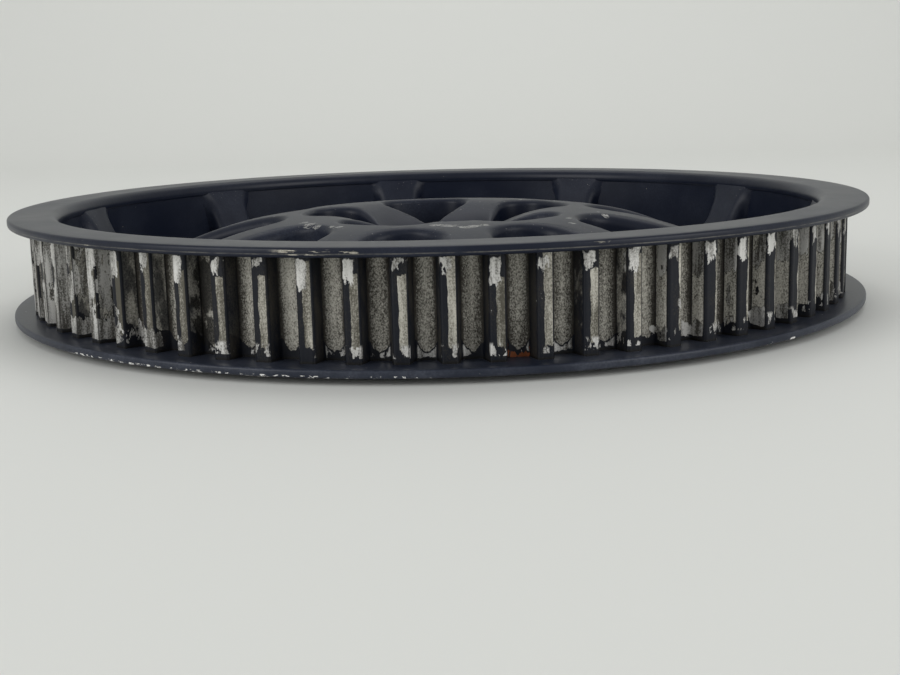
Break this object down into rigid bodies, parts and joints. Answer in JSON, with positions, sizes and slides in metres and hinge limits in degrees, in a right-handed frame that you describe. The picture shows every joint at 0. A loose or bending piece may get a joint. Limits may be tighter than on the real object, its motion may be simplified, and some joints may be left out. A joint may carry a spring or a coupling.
{
  "type": "toothed belt pulley",
  "caption": "Rear drive pulley for a toothed belt: a flanged, toothed rim carried by a domed, spoked web on a bolted hub.",
  "frame": {"origin": "on the pulley's axis, in the plane of the hub's mounting face, which the pulley lies on", "axes": "+Z is the pulley's axis and points out of the dished face; +X runs to the right as seen in the picture, and +Y away from the camera"},
  "size_m": [0.324, 0.324, 0.0392],
  "materials": {
    "casting": "satin black paint on an aluminium casting, worn to bare metal on the teeth",
    "ring": "satin black paint on steel sheet, chipped along its outer edge"
  },
  "bodies": {
    "root": {"pulley_casting": "casting", "guard_ring": "ring"}
  },
  "joints": []
}
